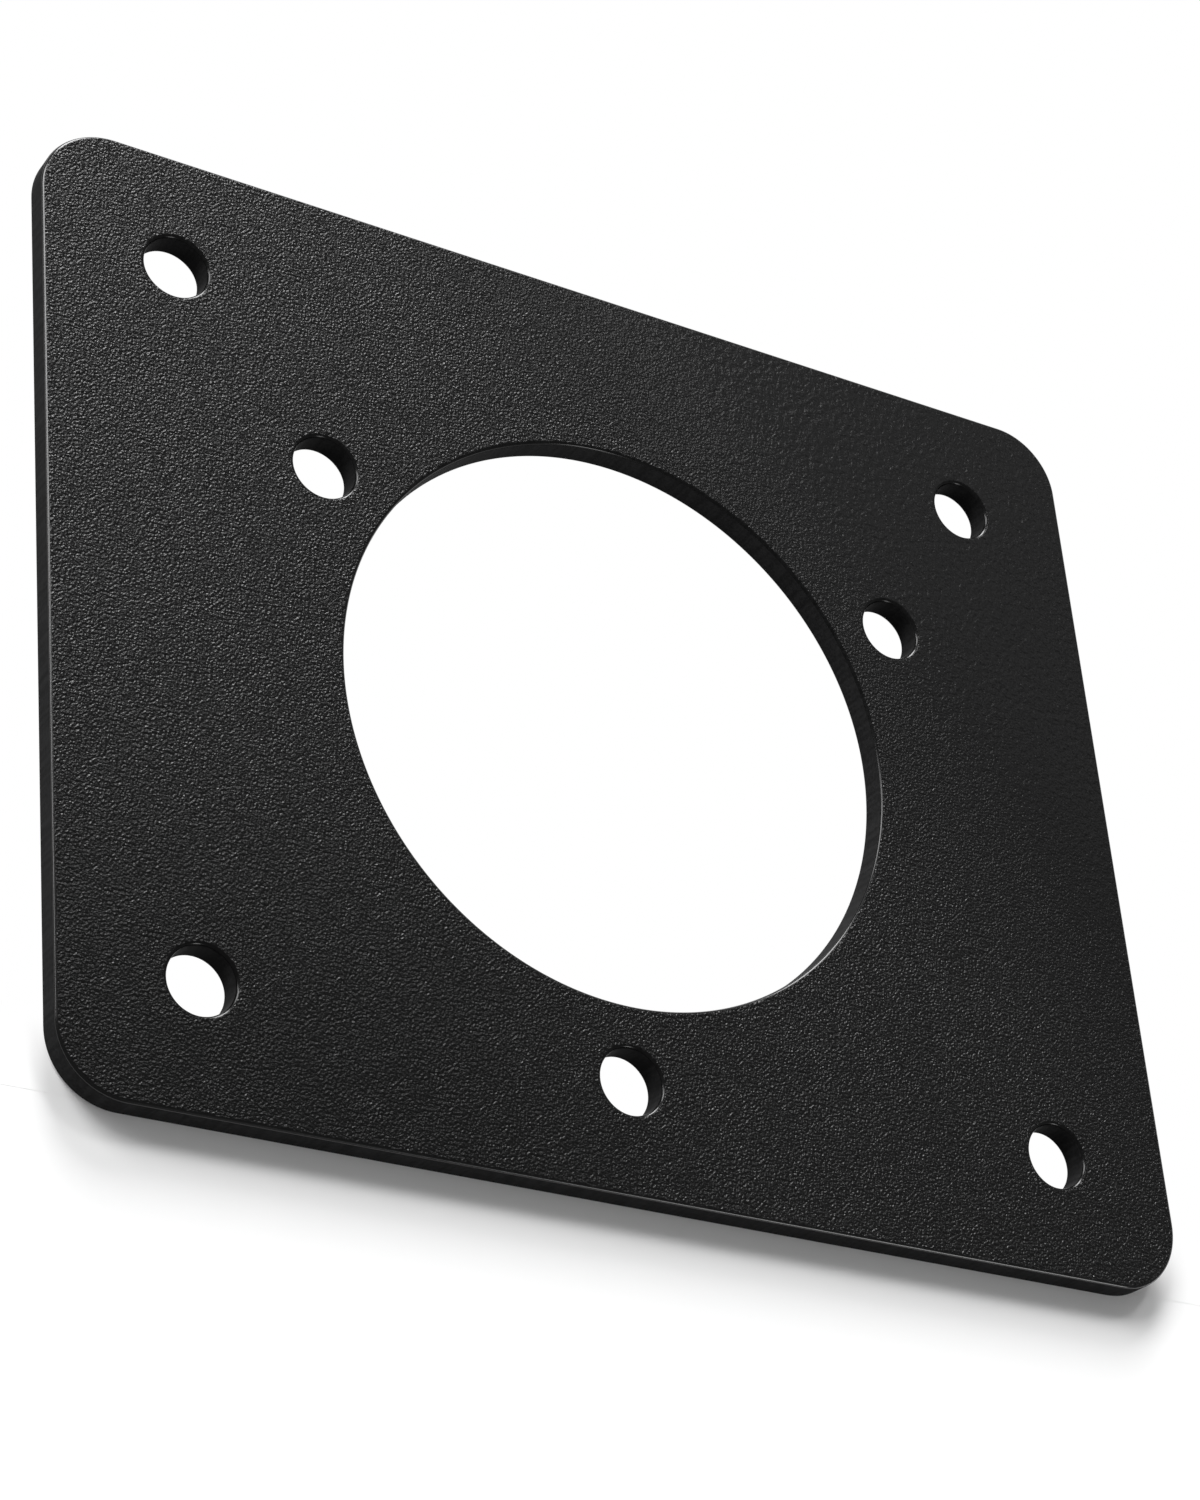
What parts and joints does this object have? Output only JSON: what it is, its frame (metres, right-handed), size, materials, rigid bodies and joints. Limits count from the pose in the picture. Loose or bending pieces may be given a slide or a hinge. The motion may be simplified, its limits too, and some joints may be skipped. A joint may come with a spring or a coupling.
{
  "type": "charger port adapter plate",
  "caption": "Flat textured black plate with leaning short sides, a large round opening for a charging port, screw holes round it and a fastening hole near each corner.",
  "frame": {"origin": "centre of the port opening on the back face, which is the bottom centre of the bounding box", "axes": "+X along the two long edges, +Y across them towards the edge that is uppermost in the picture, +Z out of the front face along the port's axis"},
  "size_m": [0.106, 0.0824, 0.0025],
  "materials": {
    "black_powder_coat": "fine-textured matt black powder coat over sheet metal"
  },
  "bodies": {
    "root": {"adapter_plate": "black_powder_coat"}
  },
  "joints": []
}
